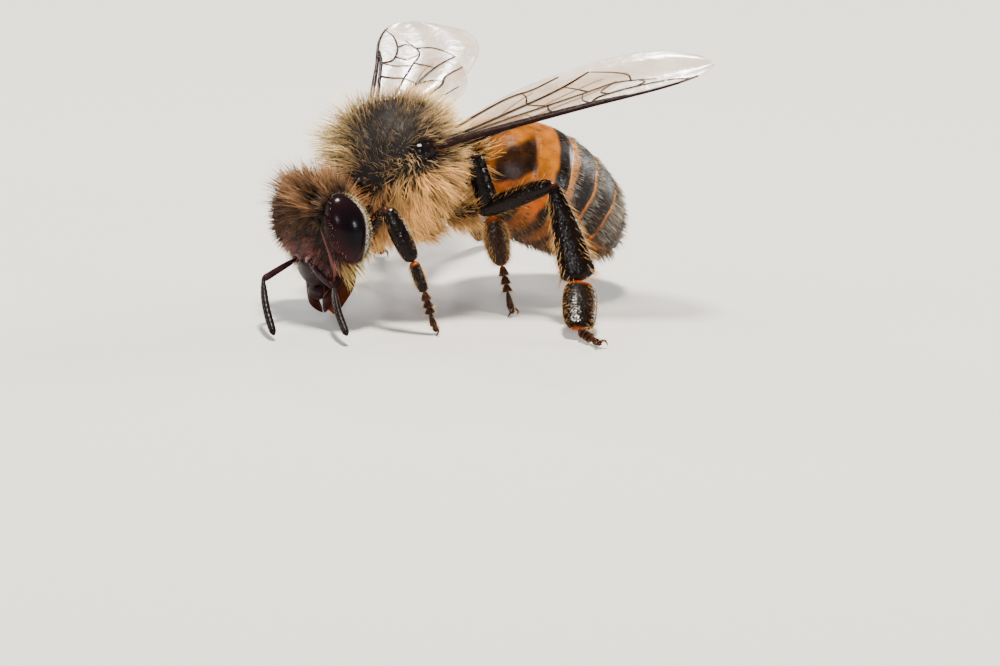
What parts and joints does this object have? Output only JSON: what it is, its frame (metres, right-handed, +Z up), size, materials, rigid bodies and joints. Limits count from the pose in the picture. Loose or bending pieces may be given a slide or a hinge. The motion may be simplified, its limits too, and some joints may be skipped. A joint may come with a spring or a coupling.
{
  "type": "honey bee",
  "caption": "A worker honey bee at life size, standing with its head down to feed, wings half spread, with a tan furry thorax and a banded amber abdomen.",
  "frame": {"origin": "On the floor, under the middle of the whole bee's box", "axes": "+X is the bee's left side, -Y is where the head points, +Z is up"},
  "size_m": [0.0158, 0.0142, 0.0083],
  "materials": {
    "coat": "golden tan hair",
    "dark_coat": "dark brown hair",
    "amber": "amber shell",
    "band": "dark brown shell",
    "shell": "glossy black shell",
    "mouth": "red-brown shell",
    "eye": "polished black",
    "wing": "clear smoky membrane"
  },
  "bodies": {
    "root": {"tegula_left": "shell", "forewing_left": "wing", "hindwing_left": "wing", "tegula_right": "shell", "forewing_right": "wing", "hindwing_right": "wing", "thorax": "coat", "mandible_left": "shell", "eye_left": "eye", "mandible_right": "shell", "eye_right": "eye", "proboscis": "mouth", "antenna_left_scape": "shell", "antenna_left_flagellum": "shell", "antenna_right_scape": "shell", "antenna_right_flagellum": "shell", "head": "dark_coat", "leg_fore_left_coxa": "shell", "leg_fore_left_femur": "shell", "leg_fore_left_tibia": "shell", "leg_fore_left_basitarsus": "shell", "leg_fore_left_tarsus": "shell", "leg_mid_left_coxa": "shell", "leg_mid_left_femur": "shell", "leg_mid_left_tibia": "shell", "leg_mid_left_basitarsus": "shell", "leg_mid_left_tarsus": "shell", "leg_hind_left_coxa": "shell", "leg_hind_left_femur": "shell", "leg_hind_left_tibia": "shell", "leg_hind_left_basitarsus": "shell", "leg_hind_left_tarsus": "shell", "leg_fore_right_coxa": "shell", "leg_fore_right_femur": "shell", "leg_fore_right_tibia": "shell", "leg_fore_right_basitarsus": "shell", "leg_fore_right_tarsus": "shell", "leg_mid_right_coxa": "shell", "leg_mid_right_femur": "shell", "leg_mid_right_tibia": "shell", "leg_mid_right_basitarsus": "shell", "leg_mid_right_tarsus": "shell", "leg_hind_right_coxa": "shell", "leg_hind_right_femur": "shell", "leg_hind_right_tibia": "shell", "leg_hind_right_basitarsus": "shell", "leg_hind_right_tarsus": "shell", "abdomen_1": "amber", "abdomen_2": "amber", "abdomen_3": "band", "abdomen_4": "band", "abdomen_5": "band", "abdomen_6": "band"}
  },
  "joints": []
}
